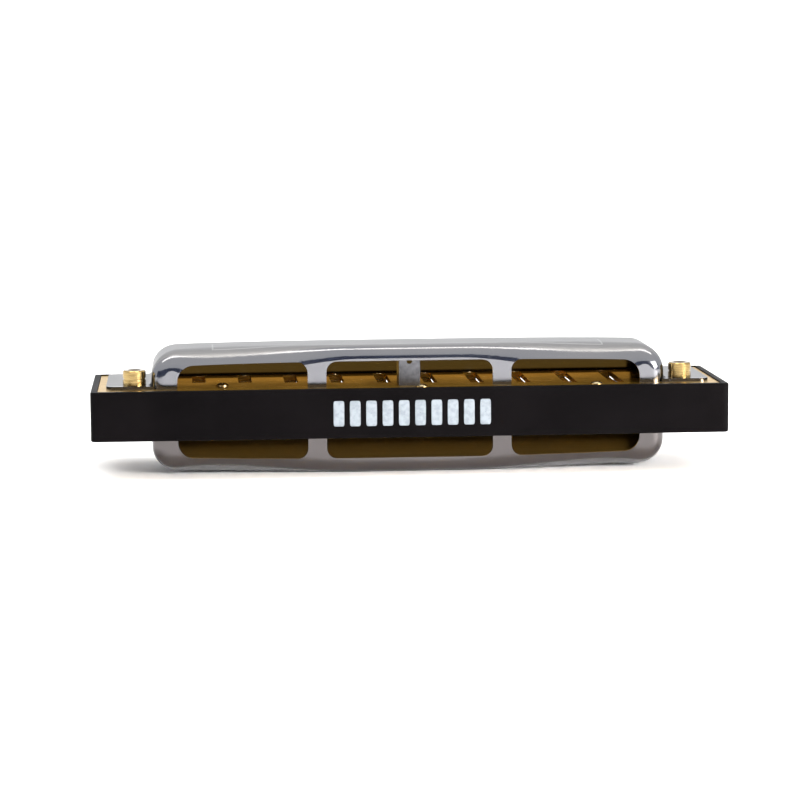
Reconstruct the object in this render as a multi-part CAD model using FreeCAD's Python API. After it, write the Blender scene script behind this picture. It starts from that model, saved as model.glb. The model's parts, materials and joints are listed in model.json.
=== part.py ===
import FreeCAD, Part
import math
import os

# A ten-hole diatonic harmonica, in millimetres.
# +X runs towards hole 1 (the lowest notes), +Y out of the mouthpiece, +Z up.
# The origin is under the middle of the harmonica, on the surface that the lower cover rests on.

# ---- Comb: the moulded body with ten air channels ----
comb_length = 102.0
comb_depth = 27.5
comb_thickness = 7.9
end_rim = 1.07  # wall beside the short ends of a reed plate
rear_rim = 1.1  # wall behind a reed plate
front_rim = 1.0  # lip in front of a reed plate
rim_stand = 0.2  # how far the rims stand above the reed plates
corner_radius = 1.0  # upright corners of the comb
mouth_edge_radius = 0.9  # long edges that meet the lips
edge_radius = 0.25  # the other long edges and the ends

# ---- Air channels and mouth holes ----
hole_count = 10
hole_pitch = 7.5
channel_width = 5.0
mouth_width = 4.9
mouth_height = 5.0
mouth_wall = 2.2  # from the front face to the part of a channel that opens to the plates
mouth_corner = 0.35  # round corners of a mouth hole
mouth_chamfer = 0.35  # bevel where it meets the lips
channel_tail = 1.6  # room behind the rear end of a slot, for a rivet tail

# ---- Mark on the rear wall: a row of plain bars, one for each hole, in a shallow recess ----
mark_pitch = 2.6
mark_width = 1.75
mark_height = 4.1
mark_corner = 0.35
mark_recess = 0.06

# ---- Reed plates ----
plate_thickness = 0.9
plate_gap = 0.06  # between a plate's edge and its recess
plate_corner = 0.4
slot_width = 2.2
slot_setback = 4.6  # from the comb's front face to the front end of every slot
slot_length_low = 17.2  # hole 1
slot_length_high = 9.0  # hole 10

# ---- Reeds ----
reed_width = 2.06
reed_root_gap = 0.1  # hairline between a reed's fixed pad and its free tongue
reed_tip_gap = 0.14  # between a tongue's tip and the end of its slot
reed_rise = 0.08  # a tongue rests this far off the plate
root_thickness = 0.28
belly_thickness = 0.17
tip_thickness = 0.23
belly_place = 0.6  # of the tongue's length from the root
pad_length = 1.9
pad_width = 2.3
pad_thickness = 0.36
rivet_radius = 0.5
rivet_head_radius = 0.8
rivet_head_height = 0.36
rivet_tail_radius = 0.58
rivet_tail_height = 0.08

# ---- Covers: pressed sheet with three windows at the rear ----
sheet = 0.5
crown_height = 6.55  # above the reed plate
cover_rear_setback = 5.0  # from the comb's rear face to the rear wall
cover_front_setback = 2.1  # from the comb's front face to the cover's front edge
end_shelf = 9.6  # from the comb's end to the cover's end wall
arch_flat = 16.0  # level stretch in the middle of the crown
arch_drop = 0.45  # how far the crown falls from there to its end corners
end_corner_radius = 4.4
crest_radius = 2.1  # rear crest in the middle, and upright corners
crest_end_radius = 3.6  # rear crest where the arch meets its end corners
ridge_radius = 1.2  # front ridge and front corners
slope_angle = 43.0
slope_radius = 11.0
ridge_angle = 9.0  # how steeply the front curve leaves the crown, before the ridge is rounded

# ---- Windows in the rear wall ----
band_height = 2.45  # wall left above the windows
pillar_place = 14.9  # from the middle to each pillar
pillar_width = 3.0
column_width = 4.15  # wall left at each end
window_corner = 1.7
window_end_corner = 2.6

# ---- Tabs at the covers' ends ----
tab_end_setback = 2.4  # from the comb's end
tab_rear_setback = 5.3  # from the comb's rear face
tab_front_setback = 3.2  # from the comb's front face
tab_corner = 1.5
bend_radius = 0.7

# ---- Cover screws and round nuts ----
fastener_end_setback = 6.9
fastener_rear_setback = 7.4
screw_radius = 1.0
screw_clearance = 0.1
thread_clearance = 0.01
screw_head_radius = 1.9
screw_head_height = 0.6
nut_radius = 1.85
nut_height = 2.45
nut_groove_height = 0.95
nut_groove_width = 0.3
nut_groove_depth = 0.12
nut_bevel = 0.2
nut_open_depth = 0.8  # thread left empty at the top of a nut

# ---- Plate screws: (place along X, distance from the comb's rear face) ----
plate_screw_places = [(-30.0, 9.2), (1.8, 3.5), (30.0, 3.5)]
plate_screw_radius = 0.7
plate_screw_head_radius = 1.0
plate_screw_head_height = 0.5

# ---- Domed heads: shares of a head's radius or height ----
dome_wall = 0.35  # upright wall, of the height
cross_reach = 0.62  # half the length of a cross's arm, of the radius
cross_half_width = 0.13  # of the radius
cross_depth = 0.6  # of the height

# ---- Brace inside the upper cover ----
brace_width = 3.4
brace_depth = 5.0
brace_thickness = 0.5
brace_hole_radius = 0.45
brace_hole_height = 3.9

# ---- Levels and places that follow from the sizes above ----
recess_depth = plate_thickness + rim_stand
middle_z = crown_height + comb_thickness / 2 - rim_stand
comb_top = middle_z + comb_thickness / 2
comb_bottom = middle_z - comb_thickness / 2
upper_seat = comb_top - recess_depth  # underside of the upper plate
upper_face = comb_top - rim_stand  # outside of the upper plate
lower_seat = comb_bottom + recess_depth
lower_face = comb_bottom + rim_stand
rear_y = -comb_depth / 2
front_y = comb_depth / 2
slot_front_y = front_y - slot_setback
cover_rear_y = rear_y + cover_rear_setback
cover_front_y = front_y - cover_front_setback
cover_half = comb_length / 2 - end_shelf
fastener_x = comb_length / 2 - fastener_end_setback
fastener_y = rear_y + fastener_rear_setback
arch_run = cover_half - end_corner_radius - arch_flat / 2
arch_radius = (arch_run**2 + arch_drop**2) / (2 * arch_drop)
slope = math.radians(slope_angle)
# The front curve is an arc about this centre, then a straight slope down to the cover's front edge.
curve_z = crown_height - slope_radius * math.cos(math.radians(ridge_angle))
slope_run = (curve_z + slope_radius * math.cos(slope)) / math.tan(slope)
curve_y = cover_front_y - slope_run - slope_radius * math.sin(slope)

Vector = FreeCAD.Vector
UP = Vector(0, 0, 1)
ALONG_Y = Vector(0, 1, 0)
THROUGH = 1.0  # a cutting tool runs this far past the face it opens
TINY = 0.01  # a length or a tilt below this counts as none


def box(x0, x1, y0, y1, z0, z1):
    """A block between two corners."""
    return Part.makeBox(x1 - x0, y1 - y0, z1 - z0, Vector(x0, y0, z0))


def cylinder(radius, x, y, z0, z1):
    """An upright round bar."""
    return Part.makeCylinder(radius, z1 - z0, Vector(x, y, z0), UP)


def edges_along(shape, axis):
    """The straight edges that run along one axis: 0 is X, 1 is Y and 2 is Z."""
    found = []
    for edge in shape.Edges:
        if not isinstance(edge.Curve, Part.Line):
            continue
        if abs(edge.Curve.Direction[axis]) > 1 - TINY:
            found.append(edge)
    return found


def rounded_block(x0, x1, y0, y1, z0, z1, radius, axis=2):
    """A block whose edges along one axis are rounded."""
    block = box(x0, x1, y0, y1, z0, z1)
    return block.makeFillet(radius, edges_along(block, axis))


def hole_x(hole):
    """Where a hole's middle lies; hole 1 has the lowest note."""
    return ((hole_count + 1) / 2 - hole) * hole_pitch


def slot_length(hole):
    """Slots shorten evenly from hole 1 to hole 10."""
    share = (hole - 1) / (hole_count - 1)
    return slot_length_low + (slot_length_high - slot_length_low) * share


def slot_rear_y(hole):
    return slot_front_y - slot_length(hole)


def holes():
    return range(1, hole_count + 1)


def fused(shapes):
    """One solid from several that meet."""
    whole = shapes[0]
    for shape in shapes[1:]:
        whole = whole.fuse(shape)
    return whole.removeSplitter()


# ---- Comb ----


def comb_block():
    """The outside of the comb: softened edges all round, rounder where the lips go."""
    x = comb_length / 2
    block = rounded_block(-x, x, rear_y, front_y, comb_bottom, comb_top, corner_radius)
    outline = [edge for edge in block.Edges if edge.BoundBox.ZLength < TINY]
    block = block.makeFillet(edge_radius, outline)
    lips = box(-x - THROUGH, x + THROUGH, rear_y - THROUGH, front_y, comb_bottom, comb_top)
    front = [edge for edge in edges_along(lips, 0) if edge.CenterOfMass.y > 0]
    return block.common(lips.makeFillet(mouth_edge_radius, front))


def plate_recesses():
    """The two seats that the reed plates drop into."""
    x = comb_length / 2 - end_rim
    y0 = rear_y + rear_rim
    y1 = front_y - front_rim
    upper = rounded_block(-x, x, y0, y1, upper_seat, comb_top + THROUGH, plate_corner)
    lower = rounded_block(-x, x, y0, y1, comb_bottom - THROUGH, lower_seat, plate_corner)
    return [upper, lower]


def air_channel(hole):
    """A channel that opens to both plates, with a mouth hole in the front wall."""
    x = hole_x(hole)
    half = channel_width / 2
    y0 = slot_rear_y(hole) - channel_tail
    y1 = front_y - mouth_wall
    return box(x - half, x + half, y0, y1, lower_seat, upper_seat)


def mouth_hole(hole):
    """A near-square hole with a small chamfer where it meets the lips."""
    x = hole_x(hole)
    half = mouth_width / 2
    z0 = middle_z - mouth_height / 2
    z1 = middle_z + mouth_height / 2
    inner = rounded_block(
        x - half, x + half, front_y - mouth_wall - THROUGH, front_y + THROUGH, z0, z1, mouth_corner, 1
    )
    flare = Part.makeLoft(
        [
            mouth_outline(x, half, z0, z1, front_y - mouth_chamfer, 0),
            mouth_outline(x, half, z0, z1, front_y, mouth_chamfer),
        ],
        True,
        True,
    )
    return [inner, flare]


def mouth_outline(x, half, z0, z1, y, grow):
    """The square outline of a mouth hole, made larger by grow on each side."""
    points = [
        Vector(x - half - grow, y, z0 - grow),
        Vector(x + half + grow, y, z0 - grow),
        Vector(x + half + grow, y, z1 + grow),
        Vector(x - half - grow, y, z1 + grow),
    ]
    return Part.makePolygon(points + [points[0]])


def mark_bars():
    """The row of plain bars on the rear wall, as the tools that press them in."""
    bars = []
    for hole in holes():
        x = ((hole_count + 1) / 2 - hole) * mark_pitch
        bars.append(
            rounded_block(
                x - mark_width / 2,
                x + mark_width / 2,
                rear_y - THROUGH,
                rear_y + mark_recess,
                middle_z - mark_height / 2,
                middle_z + mark_height / 2,
                mark_corner,
                1,
            )
        )
    return bars


def fastener_holes(z0, z1):
    """Clearance holes for the cover screws and for the plate screws."""
    tools = []
    for x in (-fastener_x, fastener_x):
        tools.append(cylinder(screw_radius + screw_clearance, x, fastener_y, z0, z1))
    for x, setback in plate_screw_places:
        tools.append(cylinder(plate_screw_radius, x, rear_y + setback, z0, z1))
    return tools


def comb():
    tools = plate_recesses() + mark_bars()
    for hole in holes():
        tools.append(air_channel(hole))
        tools.extend(mouth_hole(hole))
    tools.extend(fastener_holes(comb_bottom, comb_top))
    return comb_block().cut(tools)


# ---- Reed plates ----


def reed_plate(z0, rivet_places):
    """A brass plate with ten slots, rivet holes and screw holes."""
    x = comb_length / 2 - end_rim - plate_gap
    y0 = rear_y + rear_rim + plate_gap
    y1 = front_y - front_rim - plate_gap
    z1 = z0 + plate_thickness
    plate = rounded_block(-x, x, y0, y1, z0, z1, plate_corner)
    tools = fastener_holes(z0 - THROUGH, z1 + THROUGH)
    half = slot_width / 2
    for hole in holes():
        slot_x = hole_x(hole)
        tools.append(
            box(slot_x - half, slot_x + half, slot_rear_y(hole), slot_front_y, z0 - THROUGH, z1 + THROUGH)
        )
    for rivet_x, rivet_y in rivet_places:
        tools.append(cylinder(rivet_radius, rivet_x, rivet_y, z0 - THROUGH, z1 + THROUGH))
    return plate.cut(tools)


def blow_rivet_places():
    """Blow reeds are riveted in front of their slots."""
    return [(hole_x(hole), slot_front_y + pad_length / 2) for hole in holes()]


def draw_rivet_places():
    """Draw reeds are riveted behind their slots."""
    return [(hole_x(hole), slot_rear_y(hole) - pad_length / 2) for hole in holes()]


# ---- Reeds ----


def reed_pads(places, z0):
    """The fixed ends of ten reeds, each with its rivet hole."""
    pads = []
    for x, y in places:
        pad = box(
            x - pad_width / 2,
            x + pad_width / 2,
            y - pad_length / 2,
            y + pad_length / 2,
            z0,
            z0 + pad_thickness,
        )
        hole = cylinder(rivet_radius, x, y, z0 - THROUGH, z0 + pad_thickness + THROUGH)
        pads.append(pad.cut(hole))
    return Part.makeCompound(pads)


def tongue(hole, root_y, towards, flat_z):
    """A free tongue: flat on top, thinned underneath between root and tip.

    towards is +1 or -1, the way the tip points along Y.
    """
    length = slot_length(hole) - reed_root_gap - reed_tip_gap
    near = root_y + towards * reed_root_gap
    profile = [
        (0, 0),
        (length, 0),
        (length, tip_thickness),
        (length * belly_place, belly_thickness),
        (0, root_thickness),
    ]
    x = hole_x(hole) - reed_width / 2
    points = [Vector(x, near + towards * along, flat_z - thick) for along, thick in profile]
    face = Part.Face(Part.makePolygon(points + [points[0]]))
    return face.extrude(Vector(reed_width, 0, 0))


def blow_reed(hole):
    return tongue(hole, slot_front_y, -1, upper_seat - reed_rise)


def draw_reed(hole):
    return tongue(hole, slot_rear_y(hole), 1, lower_face - reed_rise)


def rivets(places, pad_z, tail_z):
    """Ten rivets: a domed head under the pads and a small flat tail on top of the plate."""
    solids = []
    for x, y in places:
        head = dome(rivet_head_radius, rivet_head_height)
        head.rotate(Vector(0, 0, 0), Vector(1, 0, 0), 180)
        head.translate(Vector(x, y, pad_z))
        shank = cylinder(rivet_radius, x, y, pad_z, tail_z)
        tail = cylinder(rivet_tail_radius, x, y, tail_z, tail_z + rivet_tail_height)
        solids.append(fused([shank, head, tail]))
    return Part.makeCompound(solids)


def dome(radius, height):
    """A low domed head standing on z = 0: a short wall under a spherical cap."""
    rise = height * (1 - dome_wall)
    cap_radius = (radius**2 + rise**2) / (2 * rise)
    ball = Part.makeSphere(cap_radius, Vector(0, 0, height - cap_radius))
    return cylinder(radius, 0, 0, 0, height).common(ball)


# ---- Covers, modelled with the reed plate at z = 0 and the crown upwards ----


def arch_wire(inset, y, base, half, height, corner):
    """The outline seen from the rear: level crown, long arches, round corners, upright ends."""
    flat = arch_flat / 2
    radius = arch_radius - inset
    # The corner arc is tangent to the arch and to the upright end.
    corner_x = half - corner
    reach = radius - corner
    tilt = math.asin((corner_x - flat) / reach)
    corner_z = height - radius + reach * math.cos(tilt)
    start = Vector(flat + radius * math.sin(tilt), y, height - radius + radius * math.cos(tilt))
    quarter = (math.pi / 2 - tilt) / 2
    bend = Vector(corner_x + corner * math.cos(quarter), y, corner_z + corner * math.sin(quarter))
    end = Vector(half, y, corner_z)
    half_tilt = tilt / 2
    arch = Vector(flat + radius * math.sin(half_tilt), y, height - radius + radius * math.cos(half_tilt))
    crown = Vector(flat, y, height)
    foot = Vector(half, y, base)

    def other(point):
        return Vector(-point.x, point.y, point.z)

    edges = [
        Part.makeLine(foot, end),
        Part.Arc(end, bend, start).toShape(),
        Part.Arc(start, arch, crown).toShape(),
        Part.makeLine(crown, other(crown)),
        Part.Arc(other(crown), other(arch), other(start)).toShape(),
        Part.Arc(other(start), other(bend), other(end)).toShape(),
        Part.makeLine(other(end), other(foot)),
        Part.makeLine(other(foot), foot),
    ]
    return Part.Wire(edges)


def front_cutter(inset, base):
    """What is cut away in front of the cover's curved front."""
    radius = slope_radius - inset
    half = slope / 2
    top = Vector(0, curve_y, curve_z + radius)
    middle = Vector(0, curve_y + radius * math.sin(half), curve_z + radius * math.cos(half))
    turn = Vector(0, curve_y + radius * math.sin(slope), curve_z + radius * math.cos(slope))
    foot = Vector(0, turn.y + (turn.z - base) / math.tan(slope), base)
    far = cover_front_y + crown_height
    high = top.z + THROUGH
    edges = [
        Part.Arc(top, middle, turn).toShape(),
        Part.makeLine(turn, foot),
        Part.makeLine(foot, Vector(0, far, base)),
        Part.makeLine(Vector(0, far, base), Vector(0, far, high)),
        Part.makeLine(Vector(0, far, high), Vector(0, curve_y, high)),
        Part.makeLine(Vector(0, curve_y, high), top),
    ]
    profile = Part.Face(Part.Wire(edges))
    profile.translate(Vector(-comb_length / 2, 0, 0))
    return profile.extrude(Vector(comb_length, 0, 0))


def cover_form(inset):
    """The solid that fills the cover, made smaller by inset all over, with round edges."""
    base = -THROUGH if inset else 0.0
    half = cover_half - inset
    y0 = cover_rear_y + inset
    top = crown_height - inset
    outline = arch_wire(inset, y0, base, half, top, end_corner_radius - inset)
    block = Part.Face(outline).extrude(Vector(0, cover_front_y + 2 * THROUGH - y0, 0))
    block = block.cut(front_cutter(inset, base - THROUGH))
    front = [edge for edge in block.Edges if on_front_ridge(edge, base, top)]
    block = block.makeFillet(ridge_radius - inset, front)
    return swelled_fillet(block, y0, base, inset)


def swelled_fillet(block, y0, base, inset):
    """Rounds the rear crest in one go: widest where the arch meets its end corners."""
    wall = cover_half - inset
    edges = []
    for number, edge in enumerate(block.Edges, start=1):
        if not on_rear_wall(edge, y0, base):
            continue
        radii = []
        for vertex in (edge.firstVertex(), edge.lastVertex()):
            x = abs(vertex.Point.x)
            on_corner = arch_flat / 2 + TINY < x < wall - TINY
            radii.append((crest_end_radius if on_corner else crest_radius) - inset)
        edges.append((number, *radii))
    document = FreeCAD.newDocument("cover")
    base_object = document.addObject("Part::Feature", "block")
    base_object.Shape = block
    fillet = document.addObject("Part::Fillet", "fillet")
    fillet.Base = base_object
    fillet.Edges = edges
    document.recompute()
    shape = fillet.Shape.copy()
    FreeCAD.closeDocument(document.Name)
    return shape


def on_rear_wall(edge, y, base):
    """Whether an edge belongs to the outline of the rear wall, above its foot."""
    bounds = edge.BoundBox
    return bounds.YMax < y + TINY and bounds.ZMax > base + TINY


def on_front_ridge(edge, base, top):
    """Whether an edge lies where the front curve or slope meets the crown or an end wall."""
    bounds = edge.BoundBox
    if bounds.YMin < curve_y or bounds.ZMax < base + TINY:
        return False
    level = bounds.ZLength < TINY
    return bounds.ZMax > top - TINY or not level


def window_tool():
    """Cuts the three rear windows and leaves the band, the pillars and the end columns."""
    y0 = cover_rear_y - THROUGH
    depth = THROUGH + crest_radius + THROUGH
    half = cover_half - column_width
    height = crown_height - band_height
    outline = arch_wire(band_height, y0, -THROUGH, half, height, window_end_corner)
    opening = Part.Face(outline).extrude(Vector(0, depth, 0))
    pillars = []
    for x in (-pillar_place, pillar_place):
        pillars.append(
            box(
                x - pillar_width / 2,
                x + pillar_width / 2,
                y0 - THROUGH,
                y0 + depth + THROUGH,
                -2 * THROUGH,
                crown_height,
            )
        )
    windows = opening.cut(pillars)
    corners = []
    for edge in edges_along(windows, 1):
        centre = edge.CenterOfMass
        if centre.z > 0 and abs(abs(centre.x) - pillar_place) < pillar_width:
            corners.append(edge)
    return windows.makeFillet(window_corner, corners)


def tab(side):
    """A flat ear at one end, bent out of the end wall."""
    wall_x = cover_half
    end_x = comb_length / 2 - tab_end_setback
    y0 = rear_y + tab_rear_setback
    y1 = front_y - tab_front_setback
    ear = rounded_block(0, end_x, y0, y1, 0, sheet, tab_corner)
    ear = ear.common(box(wall_x - sheet, end_x, y0, y1, 0, sheet))
    bend_y0 = cover_rear_y + crest_radius
    fillet = box(wall_x, wall_x + bend_radius, bend_y0, y1, sheet, sheet + bend_radius)
    bend_axis = Vector(wall_x + bend_radius, bend_y0, sheet + bend_radius)
    round_bar = Part.makeCylinder(bend_radius, y1 - bend_y0, bend_axis, ALONG_Y)
    hole = cylinder(screw_radius + screw_clearance, fastener_x, fastener_y, -THROUGH, sheet + THROUGH)
    whole = ear.fuse(fillet.cut(round_bar)).cut(hole)
    if side < 0:
        whole = whole.mirror(Vector(0, 0, 0), Vector(1, 0, 0))
    return whole


def cover():
    """A pressed cover: an even sheet over the form, open below, with windows and tabs."""
    shell = cover_form(0).cut(cover_form(sheet))
    shell = shell.cut(window_tool())
    return fused([shell, tab(1), tab(-1)])


def upper_cover():
    shape = cover()
    shape.translate(Vector(0, 0, upper_face))
    return shape


def lower_cover():
    shape = cover().mirror(Vector(0, 0, 0), UP)
    shape.translate(Vector(0, 0, lower_face))
    return shape


def cover_brace():
    """A folded strip inside the crown: it stands on the upper plate and props up the cover."""
    x0 = -brace_width / 2
    x1 = brace_width / 2
    y1 = cover_rear_y + sheet + brace_depth
    strip = cover_form(sheet).common(box(x0, x1, rear_y, y1, 0, crown_height))
    strip = strip.cut(cover_form(sheet + brace_thickness))
    flange = cover_form(sheet).common(box(x0, x0 + brace_thickness, rear_y, y1, 0, crown_height))
    hole_start = Vector(0, rear_y, brace_hole_height)
    hole = Part.makeCylinder(brace_hole_radius, comb_depth / 2, hole_start, ALONG_Y)
    brace = fused([strip.cut(hole), flange])
    brace.translate(Vector(0, 0, upper_face))
    return brace


# ---- Fasteners ----


def crossed_head(radius, height):
    """A domed head standing on z = 0, with the cross that a screwdriver turns."""
    arm = radius * cross_reach
    half = radius * cross_half_width
    low = height * (1 - cross_depth)
    high = height + THROUGH
    cross = [box(-arm, arm, -half, half, low, high), box(-half, half, -arm, arm, low, high)]
    return dome(radius, height).cut(cross)


def cover_screw(x):
    """A machine screw from below: domed head under the lower tab, thread up into the nut."""
    seat = lower_face - sheet
    tip = upper_face + sheet + nut_height - nut_open_depth
    head = crossed_head(screw_head_radius, screw_head_height)
    head.rotate(Vector(0, 0, 0), Vector(1, 0, 0), 180)
    head.translate(Vector(x, fastener_y, seat))
    return fused([head, cylinder(screw_radius, x, fastener_y, seat, tip)])


def cover_nut(x):
    """A round brass nut with a groove around it, standing on the upper tab."""
    z0 = upper_face + sheet
    z1 = z0 + nut_height
    body = cylinder(nut_radius, x, fastener_y, z0, z1)
    rim = [edge for edge in body.Edges if edge.BoundBox.ZMin > z1 - TINY]
    body = body.makeChamfer(nut_bevel, rim)
    groove_z0 = z0 + nut_groove_height
    groove_z1 = groove_z0 + nut_groove_width
    groove = cylinder(nut_radius + THROUGH, x, fastener_y, groove_z0, groove_z1)
    groove = groove.cut(cylinder(nut_radius - nut_groove_depth, x, fastener_y, groove_z0, groove_z1))
    thread = cylinder(screw_radius + thread_clearance, x, fastener_y, z0, z1)
    return body.cut([groove, thread])


def plate_screws():
    """Three long screws that clamp both plates to the comb."""
    solids = []
    for x, setback in plate_screw_places:
        y = rear_y + setback
        head = crossed_head(plate_screw_head_radius, plate_screw_head_height)
        head.translate(Vector(x, y, upper_face))
        shank = cylinder(plate_screw_radius, x, y, lower_face, upper_face)
        solids.append(fused([head, shank]))
    return Part.makeCompound(solids)


def nodes():
    """Every separate piece of the harmonica, by name."""
    parts = {
        "comb": comb(),
        "upper_reed_plate": reed_plate(upper_seat, blow_rivet_places()),
        "lower_reed_plate": reed_plate(lower_face, draw_rivet_places()),
        "blow_reed_pads": reed_pads(blow_rivet_places(), upper_seat - pad_thickness),
        "draw_reed_pads": reed_pads(draw_rivet_places(), lower_face - pad_thickness),
        "blow_reed_rivets": rivets(blow_rivet_places(), upper_seat - pad_thickness, upper_face),
        "draw_reed_rivets": rivets(draw_rivet_places(), lower_face - pad_thickness, lower_seat),
        "upper_cover": upper_cover(),
        "lower_cover": lower_cover(),
        "cover_brace": cover_brace(),
        "cover_screw_left": cover_screw(-fastener_x),
        "cover_screw_right": cover_screw(fastener_x),
        "cover_nut_left": cover_nut(-fastener_x),
        "cover_nut_right": cover_nut(fastener_x),
        "plate_screws": plate_screws(),
    }
    for hole in holes():
        parts[f"blow_reed_{hole}"] = blow_reed(hole)
        parts[f"draw_reed_{hole}"] = draw_reed(hole)
    return parts


os.makedirs("parts", exist_ok=True)
for name, shape in nodes().items():
    shape.exportStep(f"parts/{name}.step")
    print(name, len(shape.Solids), shape.isValid(), round(shape.Volume, 2))
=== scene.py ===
# %% [markdown]
# # A ten-hole harmonica, dressed for its portrait
# The shapes come from the CAD model and stay as they are. This script adds what CAD leaves out: finishes,
# the print on the rear wall, screw threads, hole numbers, light and a camera.
# Read it from the top: each cell makes one thing, and most cells print what they made.

import json
import math

import bpy
import numpy as np
from mathutils import Matrix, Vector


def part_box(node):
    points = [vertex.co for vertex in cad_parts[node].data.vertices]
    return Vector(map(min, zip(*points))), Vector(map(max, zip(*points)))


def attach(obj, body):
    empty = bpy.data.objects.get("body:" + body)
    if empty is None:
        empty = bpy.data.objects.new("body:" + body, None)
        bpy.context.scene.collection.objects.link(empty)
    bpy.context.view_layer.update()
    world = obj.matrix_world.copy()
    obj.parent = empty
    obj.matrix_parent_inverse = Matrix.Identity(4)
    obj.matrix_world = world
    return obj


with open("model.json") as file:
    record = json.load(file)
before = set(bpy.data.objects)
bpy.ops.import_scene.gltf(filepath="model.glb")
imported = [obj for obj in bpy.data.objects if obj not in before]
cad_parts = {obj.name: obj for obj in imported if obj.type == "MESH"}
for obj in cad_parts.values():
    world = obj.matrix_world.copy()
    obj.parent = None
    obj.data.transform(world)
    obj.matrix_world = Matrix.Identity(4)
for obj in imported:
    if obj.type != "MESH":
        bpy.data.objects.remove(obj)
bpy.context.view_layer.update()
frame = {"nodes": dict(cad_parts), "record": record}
MM = 0.001

# %% [markdown]
# ## Places on the harmonica
# Every new piece is placed from the CAD boxes, so it follows the model if a size changes.
# +X points to hole 1, +Y out of the mouthpiece and +Z up, in metres.

# %% Read the places
comb_low, comb_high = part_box("comb")
cover_low, cover_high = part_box("upper_cover")
REAR = comb_low.y
MIDDLE = (comb_low.z + comb_high.z) / 2
PLATE_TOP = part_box("upper_reed_plate")[1].z
PLATE_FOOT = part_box("lower_reed_plate")[0].z
HOLES = range(1, 11)
HOLE_PITCH = 7.5 * MM
BAR_PITCH = 2.6 * MM


def row_x(hole, pitch):
    """Where a hole's mark stands in a row of ten centred on x = 0, with hole 1 at the +X end."""
    return (len(HOLES) / 2 + 0.5 - hole) * pitch


print("rear face, middle height and crown:", [round(v / MM, 2) for v in (REAR, MIDDLE, cover_high.z)])

# %% [markdown]
# ## Camera
# A long lens from almost half a metre away, a little above the harmonica and a little to its left.
# The three directions are worked out from two angles and a small roll, and become the camera's matrix.

# %% Make the camera
yaw, pitch, roll = math.radians(4.14), math.radians(6.86), math.radians(-0.41)
look = np.array([math.sin(yaw) * math.cos(pitch), math.cos(yaw) * math.cos(pitch), -math.sin(pitch)])
level_right = np.array([math.cos(yaw), -math.sin(yaw), 0.0])
level_up = np.cross(level_right, look)
right = math.cos(roll) * level_right + math.sin(roll) * level_up
up = -math.sin(roll) * level_right + math.cos(roll) * level_up

camera = bpy.data.objects.new("camera", bpy.data.cameras.new("camera"))
bpy.context.scene.collection.objects.link(camera)
bpy.context.scene.camera = camera
camera.data.sensor_width = 36.0
camera.data.lens = 131.67
camera.data.clip_start = 0.01
camera.data.clip_end = 50.0
pose = np.eye(4)
pose[:3, 0], pose[:3, 1], pose[:3, 2] = right, up, -look
pose[:3, 3] = np.array([-35.30, -474.29, 67.92]) * MM
camera.matrix_world = Matrix(pose.tolist())
print("camera at", np.round(pose[:3, 3] / MM, 1), "mm")

# %% [markdown]
# ## Building surfaces from numbers
# A surface here is a grid: a function takes two numbers, u and v, and gives a point for each pair.
# numpy works out all the points at once, so there is no loop over them.


# %% Two helpers
def add_mesh(name, points, faces):
    """Makes an object from points (n, 3) in metres and faces of point numbers."""
    mesh = bpy.data.meshes.new(name)
    mesh.from_pydata(np.asarray(points, float), [], np.asarray(faces, int).tolist())
    mesh.validate()
    mesh.polygons.foreach_set("use_smooth", [True] * len(mesh.polygons))
    mesh.update()
    thing = bpy.data.objects.new(name, mesh)
    bpy.context.scene.collection.objects.link(thing)
    return thing


def grid_faces(rows, columns, wrap=False, start=0):
    """Four-sided faces of a rows by columns grid; wrap joins the last column to the first."""
    r, c = np.meshgrid(np.arange(rows - 1), np.arange(columns if wrap else columns - 1), indexing="ij")
    here, beside = r * columns + c, r * columns + (c + 1) % columns
    quads = np.stack([here, beside, beside + columns, here + columns], axis=-1)
    return quads.reshape(-1, 4) + start


# %% [markdown]
# ## Finishes
# Each finish is a small network of nodes: noise in the object's own coordinates drives colour,
# roughness and bump. Sizes in the noise are per metre, so 2000 means a grain of about half a millimetre.


# %% Helpers for node networks
def new_material(name, color, metallic, roughness):
    """A material with one Principled shader, and its nodes, links, shader and object coordinates."""
    material = bpy.data.materials.new(name)
    material.use_nodes = True
    nodes, links = material.node_tree.nodes, material.node_tree.links
    shader = nodes["Principled BSDF"]
    shader.inputs["Base Color"].default_value = (*color, 1.0)
    shader.inputs["Metallic"].default_value = metallic
    shader.inputs["Roughness"].default_value = roughness
    place = nodes.new("ShaderNodeTexCoord").outputs["Object"]
    return material, nodes, links, shader, place


def stretched_noise(nodes, links, place, scale, detail=4.0):
    """Noise whose grain is 1/scale metres along X, Y and Z, so unequal scales give brushed lines."""
    stretch = nodes.new("ShaderNodeMapping")
    stretch.inputs["Scale"].default_value = scale
    noise = nodes.new("ShaderNodeTexNoise")
    noise.inputs["Scale"].default_value = 1.0
    noise.inputs["Detail"].default_value = detail
    links.new(place, stretch.inputs["Vector"])
    links.new(stretch.outputs["Vector"], noise.inputs["Vector"])
    return noise.outputs["Fac"]


def remap(nodes, links, value, low, high, from_low=0.0, from_high=1.0, smooth=False):
    """Carries a value from one range to another."""
    node = nodes.new("ShaderNodeMapRange")
    node.interpolation_type = "SMOOTHSTEP" if smooth else "LINEAR"
    node.inputs["From Min"].default_value = from_low
    node.inputs["From Max"].default_value = from_high
    node.inputs["To Min"].default_value = low
    node.inputs["To Max"].default_value = high
    links.new(value, node.inputs["Value"])
    return node.outputs["Result"]


def maths(nodes, links, operation, a, b=None):
    """One arithmetic step on two values; each is a socket or a plain number."""
    node = nodes.new("ShaderNodeMath")
    node.operation = operation
    for socket, value in zip(node.inputs, (a, b)):
        if isinstance(value, (int, float)):
            socket.default_value = value
        elif value is not None:
            links.new(value, socket)
    return node.outputs[0]


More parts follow.
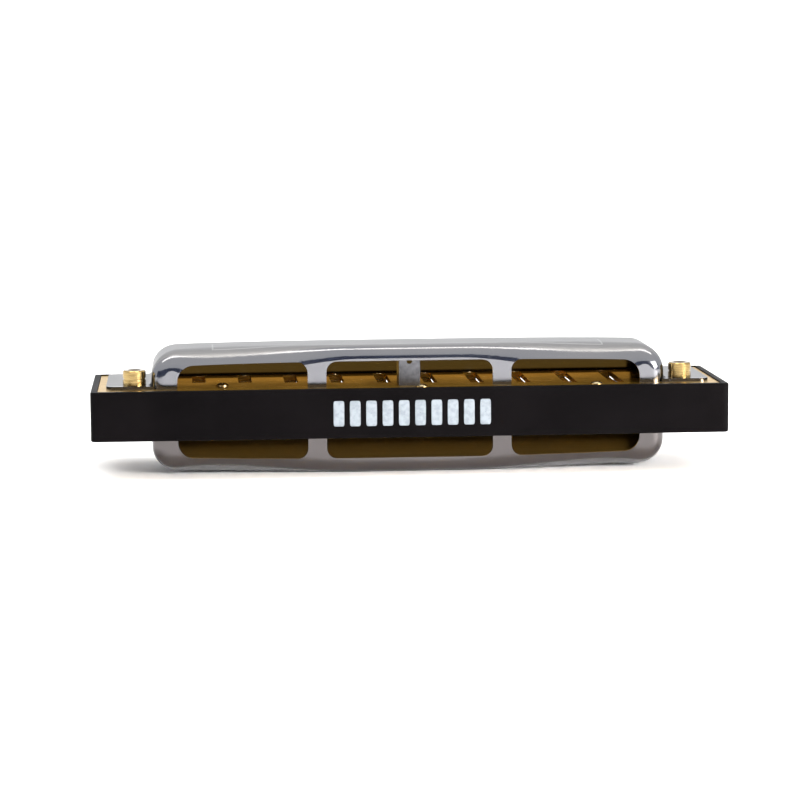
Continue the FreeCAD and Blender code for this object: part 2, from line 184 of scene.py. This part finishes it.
def mixed_color(nodes, links, share, first, second):
    """Blends two colours; each is a socket or three numbers, and share is a socket."""
    node = nodes.new("ShaderNodeMix")
    node.data_type = "RGBA"
    links.new(share, node.inputs[0])
    for socket, value in ((node.inputs[6], first), (node.inputs[7], second)):
        if isinstance(value, tuple):
            socket.default_value = (*value, 1.0)
        else:
            links.new(value, socket)
    return node.outputs[2]


def bump(nodes, links, shader, height, distance, strength=1.0):
    """Tilts the surface by a height pattern; distance is its depth in metres."""
    node = nodes.new("ShaderNodeBump")
    node.inputs["Strength"].default_value = strength
    node.inputs["Distance"].default_value = distance
    links.new(height, node.inputs["Height"])
    links.new(node.outputs["Normal"], shader.inputs["Normal"])


# %% [markdown]
# ### Comb plastic
# Moulded black plastic with a fine, slightly uneven satin texture. Real moulds are spark-eroded,
# which leaves tiny round pits, so a fine noise works as bump and a coarse one varies the gloss.


# %% Make the comb plastic
def comb_plastic():
    material, nodes, links, shader, place = new_material("comb_plastic", (0.006, 0.0052, 0.0056), 0.0, 0.42)
    grain = stretched_noise(nodes, links, place, (6000, 6000, 6000), 3)
    cloud = stretched_noise(nodes, links, place, (90, 90, 90), 5)
    links.new(remap(nodes, links, cloud, 0.36, 0.52), shader.inputs["Roughness"])
    share = remap(nodes, links, cloud, 0, 1, 0.3, 0.7)
    tone = mixed_color(nodes, links, share, (0.0024, 0.0019, 0.0022), (0.0046, 0.0037, 0.0041))
    links.new(tone, shader.inputs["Base Color"])
    shader.inputs["Specular IOR Level"].default_value = 0.03
    bump(nodes, links, shader, grain, 0.01 * MM, 0.5)
    return material


# %% [markdown]
# ### Cover steel
# One pressed sheet with two finishes: the crown and the front are brushed lengthwise, and the rear wall
# with its rounded crest is polished. The border follows the distance from the rear wall, so one material
# does both. The polished wall is painted dark and bluish, as painted reflection of a dark room, and the
# lower cover's wall darker still, as painted shade. A thin etched frame on the crown is drawn the same way,
# from the place alone.


# %% Make the cover steel
def cover_steel():
    material, nodes, links, shader, place = new_material("cover_steel", (0.42, 0.42, 0.43), 1.0, 0.2)
    axes = nodes.new("ShaderNodeSeparateXYZ")
    links.new(place, axes.inputs[0])
    x, y, z = axes.outputs
    crown = remap(nodes, links, y, 0, 1, cover_low.y + 1.0 * MM, cover_low.y + 1.5 * MM, smooth=True)
    lines = stretched_noise(nodes, links, place, (60, 5200, 5200), 6)
    fine = stretched_noise(nodes, links, place, (25, 14000, 14000), 2)
    cloud = stretched_noise(nodes, links, place, (70, 160, 160), 5)
    coarse = maths(nodes, links, "MULTIPLY", lines, 0.6)
    grain = maths(nodes, links, "ADD", coarse, maths(nodes, links, "MULTIPLY", fine, 0.4))
    # the etched frame: near its outline in both directions
    half_long, half_wide, centre, line = 31.5 * MM, 2.9 * MM, -3.0 * MM, 0.13 * MM
    from_x = maths(nodes, links, "SUBTRACT", maths(nodes, links, "ABSOLUTE", x), half_long)
    off_centre = maths(nodes, links, "ABSOLUTE", maths(nodes, links, "SUBTRACT", y, centre))
    from_y = maths(nodes, links, "SUBTRACT", off_centre, half_wide)
    edge = maths(nodes, links, "ABSOLUTE", maths(nodes, links, "MAXIMUM", from_x, from_y))
    etched = maths(nodes, links, "LESS_THAN", edge, line)
    share = remap(nodes, links, grain, 0, 1, 0.25, 0.75)
    satin = mixed_color(nodes, links, share, (0.185, 0.183, 0.185), (0.265, 0.262, 0.265))
    satin = mixed_color(nodes, links, etched, satin, (0.36, 0.36, 0.36))
    # painted reflection and shade: the upper wall's dark bluish tones stand in for a dark room it mirrors,
    # and the lower cover's wall is painted darker still as painted shade from the shadowed floor
    upper = mixed_color(nodes, links, cloud, (0.175, 0.18, 0.20), (0.23, 0.226, 0.232))
    lower = mixed_color(nodes, links, cloud, (0.095, 0.086, 0.085), (0.13, 0.118, 0.117))
    side = maths(nodes, links, "GREATER_THAN", z, MIDDLE)
    polished_with_painted_shade = mixed_color(nodes, links, side, lower, upper)
    links.new(mixed_color(nodes, links, crown, polished_with_painted_shade, satin), shader.inputs["Base Color"])
    satin_rough = remap(nodes, links, grain, 0.26, 0.42, 0.3, 0.7)
    polished_rough = remap(nodes, links, cloud, 0.10, 0.20, 0.3, 0.7)
    rough = nodes.new("ShaderNodeMix")
    links.new(crown, rough.inputs[0])
    links.new(polished_rough, rough.inputs[2])
    links.new(satin_rough, rough.inputs[3])
    links.new(rough.outputs[0], shader.inputs["Roughness"])
    height = maths(nodes, links, "MULTIPLY", grain, remap(nodes, links, crown, 0.12, 1.0))
    bump(nodes, links, shader, height, 0.012 * MM, 0.7)
    return material


# %% [markdown]
# ### Brass and the small metals
# The plates are rolled brass: straight rolling lines and a patchy brown tarnish. The reeds are filed
# along their length. Nuts and screws are turned, so their lines run around them.


# %% Make the brass and the small metals
def rolled_metal(name, bright, dull, roughness, scale):
    """Metal with grain of the given scales per axis, and patches between a bright and a dull tone."""
    material, nodes, links, shader, place = new_material(name, bright, 1.0, roughness)
    lines = stretched_noise(nodes, links, place, scale, 5)
    patches = stretched_noise(nodes, links, place, (140, 140, 140), 6)
    rolled = maths(nodes, links, "MULTIPLY", lines, 0.45)
    share = maths(nodes, links, "ADD", rolled, maths(nodes, links, "MULTIPLY", patches, 0.55))
    tone = mixed_color(nodes, links, remap(nodes, links, share, 0, 1, 0.35, 0.65), bright, dull)
    links.new(tone, shader.inputs["Base Color"])
    gloss = remap(nodes, links, share, roughness * 0.75, roughness * 1.35, 0.3, 0.7)
    links.new(gloss, shader.inputs["Roughness"])
    bump(nodes, links, shader, lines, 0.006 * MM, 0.6)
    return material


# name: bright tone, dull tone, roughness, grain per axis
METALS = {
    "reed_plate_brass": ((0.74, 0.47, 0.09), (0.44, 0.26, 0.035), 0.28, (120, 4200, 4200)),
    "reed_brass": ((0.88, 0.62, 0.22), (0.66, 0.43, 0.12), 0.24, (4200, 150, 4200)),
    "rivet_brass": ((0.86, 0.76, 0.58), (0.66, 0.54, 0.36), 0.20, (900, 900, 5000)),
    "brace_steel": ((0.17, 0.17, 0.18), (0.09, 0.09, 0.095), 0.34, (1500, 1500, 1500)),
    "screw_steel": ((0.62, 0.61, 0.60), (0.42, 0.41, 0.40), 0.22, (700, 700, 6000)),
    "nut_brass": ((0.46, 0.33, 0.14), (0.16, 0.105, 0.035), 0.17, (500, 500, 7000)),
    "plate_screw_brass": ((0.84, 0.72, 0.46), (0.60, 0.48, 0.27), 0.20, (900, 900, 5000)),
}
finishes = {name: rolled_metal(name, *values) for name, values in METALS.items()}
finishes["comb_plastic"] = comb_plastic()
finishes["cover_steel"] = cover_steel()
for part in frame["record"]["subparts"]:
    node = frame["nodes"][part["node"]]
    node.data.materials.clear()
    node.data.materials.append(finishes[part["material_slot"]])
print("finishes", sorted(finishes))

# %% [markdown]
# ## Print on the rear wall
# The CAD comb has a row of ten shallow sunk bars, one per hole. Paint fills each of them almost to the face.
# A pad is a grid in (ring, angle): the outline is a squared-off oval, and the rim rolls down to the floor.


# %% Make the painted bars
def painted_bars():
    """Ten pads. At angle a and share s of the outline, x = w·s·sgn(cos a)·|cos a|^(1/4), likewise z;
    the pad's height is full inside and falls as a quarter circle over the last tenth of s."""
    rings, around = 14, 72
    rim = 0.9 + 0.1 * np.sin(np.linspace(0.15, math.pi / 2, rings - 5))
    share = np.concatenate([np.linspace(0.02, 0.9, 5), rim])
    angle = np.linspace(0, 2 * math.pi, around, endpoint=False)
    s, a = np.meshgrid(share, angle, indexing="ij")
    half_wide, half_high, depth = 0.865 * MM, 2.04 * MM, 0.05 * MM
    x = half_wide * s * np.sign(np.cos(a)) * np.abs(np.cos(a)) ** 0.25
    z = half_high * s * np.sign(np.sin(a)) * np.abs(np.sin(a)) ** 0.25
    roll_off = np.clip((s - 0.9) / 0.1, 0, 1)
    y = REAR + 0.01 * MM + depth * (1 - np.sqrt(np.clip(1 - roll_off**2, 0, 1)))
    points, faces = [], []
    for hole in HOLES:
        start = len(points) * rings * around
        points.append(np.stack([x + row_x(hole, BAR_PITCH), y, z + MIDDLE], axis=-1).reshape(-1, 3))
        faces.append(grid_faces(rings, around, wrap=True, start=start))
    return add_mesh("rear_print", np.concatenate(points), np.concatenate(faces))


def print_paint():
    material, nodes, links, shader, place = new_material("print_paint", (0.56, 0.64, 0.72), 0.0, 0.5)
    mottle = stretched_noise(nodes, links, place, (1500, 1500, 1500), 6)
    share = remap(nodes, links, mottle, 0, 1, 0.35, 0.6)
    tone = mixed_color(nodes, links, share, (0.25, 0.285, 0.315), (0.33, 0.37, 0.405))
    links.new(tone, shader.inputs["Base Color"])
    bump(nodes, links, shader, mottle, 0.01 * MM, 0.4)
    return material


bars = painted_bars()
bars.data.materials.append(print_paint())
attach(bars, "root")
print("painted bars:", len(bars.data.polygons), "faces")

# %% [markdown]
# ## Screw threads
# A thread is a profile swept along a helix. Here it is a grid of (turn, across): the point's radius dips
# towards the middle of the ridge, and its height climbs by one pitch per turn.


# %% Make the threads
def helix(name, centre, z0, turns, pitch, radius, depth):
    """A ridge in a bore: radius - depth·(1 - |2s - 1|), at height z0 + pitch·(turn + 0.8·(s - 0.5))."""
    along, across = 60 * turns + 1, 9
    t, s = np.meshgrid(np.linspace(0, turns, along), np.linspace(0, 1, across), indexing="ij")
    fade = np.clip(np.minimum(t, turns - t) * 4, 0, 1)
    r = radius - depth * (1 - np.abs(2 * s - 1)) * fade
    theta = 2 * math.pi * t
    z = z0 + pitch * (t + 0.8 * (s - 0.5))
    points = np.stack([centre[0] + r * np.cos(theta), centre[1] + r * np.sin(theta), z], axis=-1)
    return add_mesh(name, points.reshape(-1, 3), grid_faces(along, across))


THREAD_START = 0.74 * MM  # below the nut's top
THREAD_TURNS = 2
THREAD_PITCH = 0.3 * MM
THREAD_RADIUS = 1.005 * MM
THREAD_DEPTH = 0.13 * MM
for side in ("left", "right"):
    low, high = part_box(f"cover_nut_{side}")
    axis = ((low.x + high.x) / 2, (low.y + high.y) / 2)
    z0 = high.z - THREAD_START
    thread = helix(f"nut_thread_{side}", axis, z0, THREAD_TURNS, THREAD_PITCH, THREAD_RADIUS, THREAD_DEPTH)
    thread.data.materials.append(finishes["nut_brass"])
    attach(thread, "root")
print("threads made in both nuts")

# %% [markdown]
# ## Hole numbers
# Players find their place by the numbers 1 to 10 on the front of the upper cover. A laser marks them, so
# they have no height worth speaking of. Text becomes a mesh, and its flat points are laid on the slope.


# %% Make the hole numbers
SLOPE_DEGREES = 43.0
SLOPE_RUN = 4.0 * MM  # how far the slope reaches along Y
MARK_LIFT = 0.012 * MM
NUMBER_SIZE = 3.1 * MM


def hole_numbers():
    """Numbers on the front slope: a text point (a, b) goes to centre - a·x + b·uphill."""
    tilt = math.radians(SLOPE_DEGREES)
    foot = np.array([0.0, cover_high.y, PLATE_TOP])
    uphill = np.array([0.0, -math.cos(tilt), math.sin(tilt)])
    out = np.array([0.0, math.sin(tilt), math.cos(tilt)])
    centre = foot + uphill * (0.5 * SLOPE_RUN / math.cos(tilt)) + out * MARK_LIFT
    points, faces, used = [], [], 0
    for hole in HOLES:
        text = bpy.data.curves.new("number", "FONT")
        text.body = str(hole)
        text.size = NUMBER_SIZE
        text.align_x = "CENTER"
        text.align_y = "CENTER"
        holder = bpy.data.objects.new("number", text)
        flat = bpy.data.meshes.new_from_object(holder)
        local = np.zeros(len(flat.vertices) * 3)
        flat.vertices.foreach_get("co", local)
        local = local.reshape(-1, 3)
        place = centre + np.array([row_x(hole, HOLE_PITCH), 0, 0])
        points.append(place + local[:, :1] * np.array([-1.0, 0, 0]) + local[:, 1:2] * uphill)
        faces += [[v + used for v in polygon.vertices] for polygon in flat.polygons]
        used += len(local)
        bpy.data.objects.remove(holder)
        bpy.data.meshes.remove(flat)
        bpy.data.curves.remove(text)
    mesh = bpy.data.meshes.new("hole_numbers")
    mesh.from_pydata(np.concatenate(points), [], faces)
    mesh.update()
    thing = bpy.data.objects.new("hole_numbers", mesh)
    bpy.context.scene.collection.objects.link(thing)
    return thing


def laser_mark():
    material, nodes, links, shader, place = new_material("laser_mark", (0.05, 0.05, 0.055), 0.6, 0.55)
    speckle = stretched_noise(nodes, links, place, (5000, 5000, 5000), 3)
    tone = mixed_color(nodes, links, speckle, (0.035, 0.035, 0.04), (0.09, 0.09, 0.095))
    links.new(tone, shader.inputs["Base Color"])
    return material


numbers = hole_numbers()
numbers.data.materials.append(laser_mark())
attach(numbers, "root")
print("hole numbers:", len(numbers.data.polygons), "faces")

# %% [markdown]
# ## Floor and sweep
# A white floor that curves up far behind the harmonica, as in a photographer's studio, so that no
# horizon shows. The profile is a straight run and then a quarter circle, drawn out sideways.


# %% Make the floor
def sweep():
    """Level up to y = bend_y, then (bend_y + r·sin t, r·(1 - cos t)) for t from 0 to 90 degrees."""
    front_y, bend_y, radius, half_width = -1.2, 1.6, 1.4, 3.0
    level = np.linspace(front_y, bend_y, 30)
    turn = np.linspace(0, math.pi / 2, 25)[1:]
    y = np.concatenate([level, bend_y + radius * np.sin(turn)])
    z = np.concatenate([np.zeros(len(level)), radius * (1 - np.cos(turn))])
    x = np.linspace(-half_width, half_width, 13)
    yy, xx = np.meshgrid(y, x, indexing="ij")
    zz = np.repeat(z[:, None], len(x), axis=1)
    points = np.stack([xx, yy, zz], axis=-1).reshape(-1, 3)
    return add_mesh("floor", points, grid_faces(len(y), len(x)))


def floor_paper():
    material, nodes, links, shader, place = new_material("floor_paper", (0.9, 0.9, 0.9), 0.0, 0.6)
    fibre = stretched_noise(nodes, links, place, (300, 300, 300), 4)
    tone = mixed_color(nodes, links, fibre, (0.89, 0.89, 0.892), (0.91, 0.91, 0.912))
    links.new(tone, shader.inputs["Base Color"])
    shader.inputs["Specular IOR Level"].default_value = 0.3
    return material


floor = sweep()
floor.data.materials.append(floor_paper())
print("floor made")

# %% [markdown]
# ## Light
# A long narrow light hangs overhead and draws the bright line along the crest. A second one stands at the
# right and lights the round corner there.
# Small warm strips glow inside the covers, and one lamp reaches the floor only, so the shadow stays faint.


# %% Make the lights
def softbox(name, place, aim, size, power, color):
    """A rectangular area light at place that faces aim."""
    lamp = bpy.data.lights.new(name, "AREA")
    lamp.shape = "RECTANGLE"
    lamp.size, lamp.size_y = size
    lamp.energy = power
    lamp.color = color
    thing = bpy.data.objects.new(name, lamp)
    bpy.context.scene.collection.objects.link(thing)
    back = np.array(place, float) - np.array(aim, float)
    back /= np.linalg.norm(back)
    side = np.cross([0.0, 1.0, 0.001], back)
    side /= np.linalg.norm(side)
    turn = np.eye(4)
    turn[:3, 0], turn[:3, 1], turn[:3, 2], turn[:3, 3] = side, np.cross(back, side), back, place
    thing.matrix_world = Matrix(turn.tolist())
    return thing


def glow(name, y, z, way, width, power):
    """A strip of warm light inside a cover, facing way: it stands for light thrown about by the brass."""
    place = np.array([0.0, y, z])
    lamp = softbox(name, place, place + 0.1 * np.array(way), (GLOW_LENGTH, width), power, BRASS_LIGHT)
    lamp.visible_camera = False


GLOW_LENGTH = 76 * MM
BRASS_LIGHT = (1.0, 0.60, 0.13)
TO_THE_REAR, UP, DOWN = (0, -1, 0), (0, 0, 1), (0, 0, -1)
softbox("overhead", (0.0, -0.02, 0.62), (0, 0, 0), (1.0, 0.08), 1.6, (1.0, 0.96, 0.88))
softbox("right_side", (0.42, -0.40, 0.16), (0.03, 0, 0.01), (0.18, 0.30), 4.0, (1.0, 0.97, 0.95))
glow("upper_glow", 7.0 * MM, PLATE_TOP + 1.25 * MM, TO_THE_REAR, 2.3 * MM, 0.0002)
glow("slope_glow", 9.3 * MM, PLATE_TOP + 0.15 * MM, UP, 2.4 * MM, 0.00016)
glow("lower_glow", 7.0 * MM, PLATE_FOOT - 1.05 * MM, TO_THE_REAR, 1.2 * MM, 0.00017)
glow("lower_slope_glow", 9.0 * MM, PLATE_FOOT - 0.15 * MM, DOWN, 1.2 * MM, 0.00005)

floor_only = bpy.data.collections.new("floor_only")
floor_only.objects.link(floor)
nothing = bpy.data.collections.new("nothing")
floor_fill = softbox("floor_fill", (0.0, 0.0, 1.0), (0, 0, 0), (2.0, 2.0), 11.0, (1.0, 1.0, 1.0))
floor_fill.light_linking.receiver_collection = floor_only
floor_fill.light_linking.blocker_collection = nothing

# %% [markdown]
# ## The dark side of the room
# Polished steel shows the room in front of it. A dark blue curtain stands in a half circle behind the
# camera; it draws the dark line above the windows. Cameras look through it.


# %% Hang the curtain
def curtain():
    """A point at angle a and height h is (r·sin a, -r·cos a, h), with a slight wave in r."""
    across, upward = 61, 9
    half_angle, tall, radius, wave = 1.25, 0.36, 0.9, 0.008
    angles, heights = np.linspace(-half_angle, half_angle, across), np.linspace(0.0, tall, upward)
    a, h = np.meshgrid(angles, heights, indexing="ij")
    r = radius + wave * np.sin(40 * a)
    points = np.stack([r * np.sin(a), -r * np.cos(a), h], axis=-1).reshape(-1, 3)
    return add_mesh("curtain", points, grid_faces(across, upward))


def curtain_cloth():
    material, nodes, links, shader, place = new_material("curtain_cloth", (0.1, 0.12, 0.19), 0.0, 0.9)
    folds = stretched_noise(nodes, links, place, (30, 30, 4), 3)
    tone = mixed_color(nodes, links, folds, (0.05, 0.065, 0.12), (0.14, 0.16, 0.24))
    links.new(tone, shader.inputs["Base Color"])
    return material


cloth = curtain()
cloth.data.materials.append(curtain_cloth())
cloth.visible_camera = False
print("curtain:", len(cloth.data.polygons), "faces")

# %% [markdown]
# ## The light of the room
# The rest of the room is a pale dome, slightly blue at the horizon and white overhead.

# %% Light the room
world = bpy.data.worlds.new("room")
bpy.context.scene.world = world
world.use_nodes = True
nodes, links = world.node_tree.nodes, world.node_tree.links
way = nodes.new("ShaderNodeSeparateXYZ")
links.new(nodes.new("ShaderNodeTexCoord").outputs["Generated"], way.inputs[0])
ramp = nodes.new("ShaderNodeValToRGB")
ramp.color_ramp.elements[0].position = 0.0
ramp.color_ramp.elements[0].color = (0.80, 0.83, 0.88, 1)
ramp.color_ramp.elements[1].position = 0.75
ramp.color_ramp.elements[1].color = (1.0, 1.0, 1.0, 1)
links.new(way.outputs[2], ramp.inputs[0])
links.new(ramp.outputs[0], nodes["Background"].inputs[0])
nodes["Background"].inputs[1].default_value = 1.4
bpy.context.scene.view_settings.view_transform = "Standard"
print("room light made")
